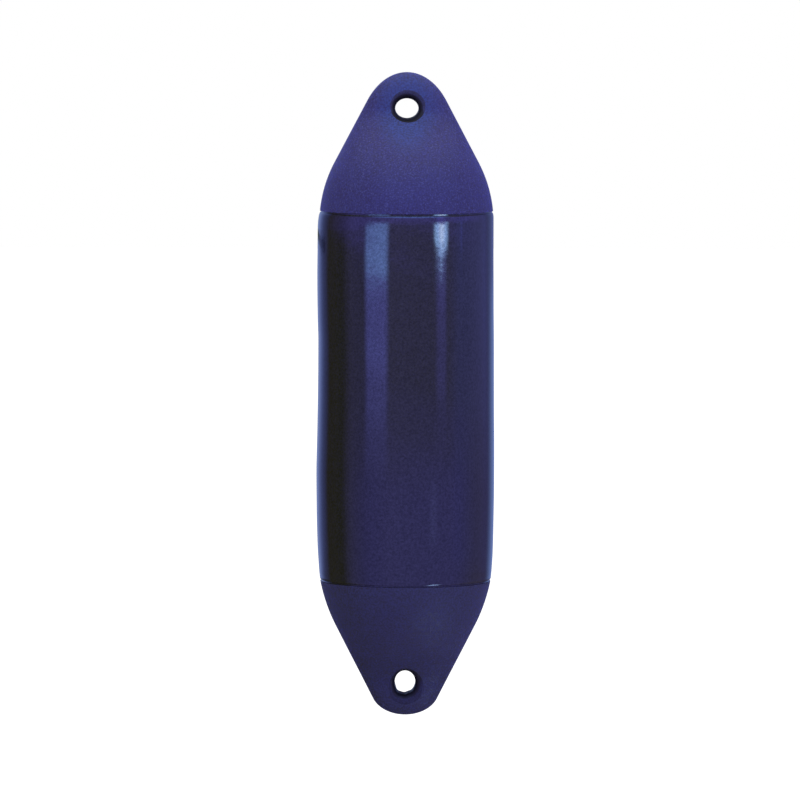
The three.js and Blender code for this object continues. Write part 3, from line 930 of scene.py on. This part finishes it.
def valve_matrix():
    """The valve's place. Its axis, local Z, stands square on the back of the upper end."""
    step = 0.5
    depth, below, above = (half_thickness(UPPER, VALVE_HEIGHT + d) for d in (0, -step, step))
    tilt = math.atan2(below - above, 2 * step)
    out = Vector((0, math.cos(tilt), math.sin(tilt)))
    place = Vector((0, depth, UPPER.seam_z + VALVE_HEIGHT)) - SPOT_FACE_DEPTH * out
    return Matrix.Translation(place * MM) @ Matrix.Rotation(tilt - math.pi / 2, 4, "X")


def dress(piece, node):
    """Makes a piece stand for a CAD node and ride where that node rides."""
    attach(piece, "root")
    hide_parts(node)


vinyl = [matt_vinyl(), polished_vinyl(), satin_vinyl()]
plastic = moulded_plastic()

body_points, body_faces, body_finishes = body_mesh()
body = mesh_piece("fender_moulding", body_points, body_faces, vinyl, body_finishes)
weld(body)
pocket = pocket_cutter()
pocket.matrix_world = valve_matrix()
cut(body, pocket)
shade(body)
dress(body, "fender_body")

for piece, node, slot in (
    (insert_piece(plastic), "valve_insert", "valve_plastic"),
    (seal_piece(rubber()), "valve_seal", "seal_rubber"),
    (plug_piece(plastic), "valve_plug", "valve_plastic"),
):
    tidy_normals(piece)
    piece.data.transform(valve_matrix())
    shade(piece)
    dress(piece, node)


# The studio, in metres. Bearings go round the fender, from the camera's side to the right.
def around(bearing, distance, z):
    """A place at a distance from the fender's axis."""
    turn = math.radians(bearing)
    return Vector((distance * math.sin(turn), -distance * math.cos(turn), z))


def ray_kind(nodes, links, kinds):
    """1 for rays of any of the kinds, and 0 for the others."""
    path = nodes.new("ShaderNodeLightPath")
    value = path.outputs[kinds[0]]
    for kind in kinds[1:]:
        value = math_node(nodes, links, "MAXIMUM", value, path.outputs[kind])
    return value


SEEN = ("Is Camera Ray", "Is Glossy Ray", "Is Transmission Ray")


def white_world():
    """White where it is seen, and a dimmer, even light on everything else."""
    world = bpy.data.worlds.new("studio")
    bpy.context.scene.world = world
    world.use_nodes = True
    nodes, links = world.node_tree.nodes, world.node_tree.links
    nodes.clear()
    seen = nodes.new("ShaderNodeBackground")
    seen.inputs["Color"].default_value = (1, 1, 1, 1)
    lighting = nodes.new("ShaderNodeBackground")
    lighting.inputs["Color"].default_value = (1, 1, 1, 1)
    lighting.inputs["Strength"].default_value = AMBIENT
    mix = nodes.new("ShaderNodeMixShader")
    links.new(ray_kind(nodes, links, SEEN), mix.inputs["Fac"])
    links.new(lighting.outputs["Background"], mix.inputs[1])
    links.new(seen.outputs["Background"], mix.inputs[2])
    output = nodes.new("ShaderNodeOutputWorld")
    links.new(mix.outputs["Shader"], output.inputs["Surface"])


def floor_material():
    """A pale floor that is white where no shadow falls, and isn't there when seen from below."""
    material, nodes, links, shader = new_material("studio_floor")
    nodes.remove(shader)
    diffuse = nodes.new("ShaderNodeBsdfDiffuse")
    diffuse.inputs["Color"].default_value = (FLOOR_ALBEDO, FLOOR_ALBEDO, FLOOR_ALBEDO, 1)
    glow = nodes.new("ShaderNodeEmission")
    links.new(ray_kind(nodes, links, SEEN), glow.inputs["Strength"])
    both = nodes.new("ShaderNodeAddShader")
    links.new(diffuse.outputs["BSDF"], both.inputs[0])
    links.new(glow.outputs["Emission"], both.inputs[1])
    clear = nodes.new("ShaderNodeBsdfTransparent")
    facing = nodes.new("ShaderNodeNewGeometry")
    mix = nodes.new("ShaderNodeMixShader")
    links.new(facing.outputs["Backfacing"], mix.inputs["Fac"])
    links.new(both.outputs["Shader"], mix.inputs[1])
    links.new(clear.outputs["BSDF"], mix.inputs[2])
    links.new(mix.outputs["Shader"], nodes["Material Output"].inputs["Surface"])
    return material


def ring_material():
    """The surroundings that the polish mirrors, from the colours of the mesh's corners."""
    material, nodes, links, shader = new_material("studio_ring")
    nodes.remove(shader)
    colours = nodes.new("ShaderNodeAttribute")
    colours.attribute_name = RING_COLOURS
    glow = nodes.new("ShaderNodeEmission")
    links.new(colours.outputs["Color"], glow.inputs["Color"])
    links.new(glow.outputs["Emission"], nodes["Material Output"].inputs["Surface"])
    material.cycles.emission_sampling = "NONE"
    return material


def stage_piece(name, points, faces, material):
    """A piece of the studio, from points in metres."""
    piece = mesh_piece(name, np.array(points) / MM, faces, [material])
    return piece


def floor():
    turns = full_turn(TURNED_STEPS)
    points = [(FLOOR_REACH * math.cos(a), FLOOR_REACH * math.sin(a), FLOOR_Z) for a in turns]
    stage_piece("studio_floor", points, [range(TURNED_STEPS)], floor_material())


def ramp(value, off, on):
    """0 at off, 1 at on, and smooth between, whichever of the two is greater."""
    t = np.clip((value - off) / (on - off), 0, 1)
    return t * t * (3 - 2 * t)


def mirrored_room():
    """The room that the fender's polish mirrors: grey walls, a black flag and dim soft lights.

    Only mirrored rays meet it, so it neither lights the fender nor shades it.
    """
    bearings = np.linspace(-180, 180, RING_STEPS, endpoint=False)
    floor_radii = np.linspace(RING_HUB, RING_REACH, RING_FLOOR_ROWS, endpoint=False)
    wall_heights = np.concatenate([np.linspace(*part, endpoint=False) for part in RING_WALL_ROWS])
    radii = np.concatenate([floor_radii, np.full(len(wall_heights), RING_REACH)])
    heights = np.concatenate([np.full(RING_FLOOR_ROWS, RING_FLOOR_Z), wall_heights])
    turn = np.radians(bearings)
    x, y = np.outer(radii, np.sin(turn)), -np.outer(radii, np.cos(turn))
    points = np.stack([x, y, np.outer(heights, np.ones(RING_STEPS))], axis=-1).reshape(-1, 3)
    unrolled = np.concatenate([RING_FLOOR_Z + floor_radii - RING_REACH, wall_heights])
    b, z = np.meshgrid(bearings, unrolled)
    flagged = ramp(b, *RING_FLAG_EDGE)
    wall = (1 - flagged) * np.interp(b, *np.transpose(RING_LEVELS))
    flag = flagged * np.interp(b, *np.transpose(RING_FLAG_LEVELS))
    light = np.multiply.outer(wall, RING_GREY) + np.multiply.outer(flag, RING_FLAG_GREY)
    for colour, left, right, low, high in RING_GLOWS:
        share = ramp(b, *left) * ramp(b, *right) * ramp(z, *low) * ramp(z, *high)
        light = np.maximum(light + np.multiply.outer(share, colour), 0)
    faces = skin(0, len(radii), RING_STEPS)
    piece = stage_piece("studio_ring", points, faces, ring_material())
    colours = piece.data.color_attributes.new(RING_COLOURS, "FLOAT_COLOR", "POINT")
    rgba = np.concatenate([light.reshape(-1, 3), np.ones((len(points), 1))], axis=1)
    colours.data.foreach_set("color", rgba.ravel())
    piece.visible_camera = piece.visible_diffuse = piece.visible_shadow = False
    piece.visible_transmission = piece.visible_volume_scatter = False


def area_light(name, place, aim, width, height, radiance, colour):
    """A flat light that the camera doesn't see."""
    data = bpy.data.lights.new(name, "AREA")
    data.shape = "RECTANGLE"
    data.size, data.size_y = width, height
    data.energy = radiance * math.pi * width * height
    data.color = colour
    light = bpy.data.objects.new(name, data)
    light.location = place
    light.rotation_euler = (aim - place).to_track_quat("-Z", "Y").to_euler()
    light.visible_camera = False
    bpy.context.scene.collection.objects.link(light)
    return light


def soft_light(name, place, aim, width, height, radiance, colour=(1, 1, 1)):
    """A soft box that lights the fender, but isn't mirrored in its polish."""
    light = area_light(name, place, aim, width, height, radiance, colour)
    light.visible_glossy = False


def highlight(
    name, bearing, distance, width, low, high, radiance, colour, side_fade, taper, low_fade
):
    """A glow that is only mirrored. It stands upright at a bearing, from one height to another.

    It fades out to its sides and to its lower edge, which runs to a point. The last three values
    are shares of its width and its height.
    """
    middle = (low + high) / 2
    place = around(bearing, distance, middle)
    light = area_light(name, place, Vector((0, 0, middle)), width, high - low, radiance, colour)
    light.visible_diffuse = False
    light.data.use_nodes = True
    nodes, links = light.data.node_tree.nodes, light.data.node_tree.links
    face = nodes.new("ShaderNodeNewGeometry")
    on_face = parts_of(nodes, links, face.outputs["Parametric"])
    across = math_node(nodes, links, "SUBTRACT", on_face["X"], 0.5)
    off_middle = math_node(nodes, links, "ABSOLUTE", across)
    inside = math_node(nodes, links, "SUBTRACT", 0.5, off_middle)
    rise = math_node(nodes, links, "MULTIPLY", off_middle, 2 * taper)
    over = math_node(nodes, links, "SUBTRACT", on_face["Y"], rise)
    sides = smooth_share(nodes, links, inside, side_fade)
    foot = smooth_share(nodes, links, over, low_fade)
    strength = math_node(nodes, links, "MULTIPLY", sides, foot)
    links.new(strength, nodes["Emission"].inputs["Strength"])


def camera():
    """A long lens from a little above, rolled as slightly as the photo is."""
    data = bpy.data.cameras.new("camera")
    data.sensor_width = 36
    data.lens = LENS
    eye = bpy.data.objects.new("camera", data)
    middle_z = (CAD_LOW.z + CAD_HIGH.z) / 2
    aim = Vector((AIM_X, 0, middle_z + AIM_Z))
    height = math.radians(CAMERA_ELEVATION)
    back = Vector((0, -math.cos(height), math.sin(height)))
    eye.location = aim + back * CAMERA_DISTANCE
    eye.rotation_mode = "QUATERNION"
    roll = Matrix.Rotation(math.radians(CAMERA_ROLL), 4, "Z").to_quaternion()
    eye.rotation_quaternion = (-back).to_track_quat("-Z", "Y") @ roll
    bpy.context.scene.collection.objects.link(eye)
    bpy.context.scene.camera = eye


bpy.context.scene.view_settings.view_transform = "Standard"
camera()
white_world()
floor()
mirrored_room()
highlight(
    "key_glow", bearing=45.1, distance=1.0, width=0.425, low=-0.184, high=-0.134, radiance=13,
    colour=(0.47, 0.7, 1.02), side_fade=0.25, taper=0.41, low_fade=0.33,
)
highlight(
    "key_core", bearing=46.0, distance=1.01, width=0.23, low=-0.168, high=-0.134, radiance=7,
    colour=(1, 0.84, 0.55), side_fade=0.5, taper=0.2, low_fade=0.45,
)
origin = Vector((0, 0, 0))
soft_light(
    "front", around(-8, 0.6, 0.14), aim=around(-8, 0.05, -0.02), width=0.3, height=0.2, radiance=5.5,
)
soft_light(
    "fill", around(-65, 0.6, 0.25), aim=origin, width=0.3, height=0.3, radiance=1.3,
    colour=(1, 0.95, 0.85),
)
soft_light(
    "side", around(70, 1.3, 0.2), aim=Vector((0, 0, -0.1)), width=0.7, height=0.5, radiance=2.9,
)
soft_light(
    "overhead", Vector((0, -0.05, 0.5)), aim=origin, width=0.6, height=0.6, radiance=2.2,
)
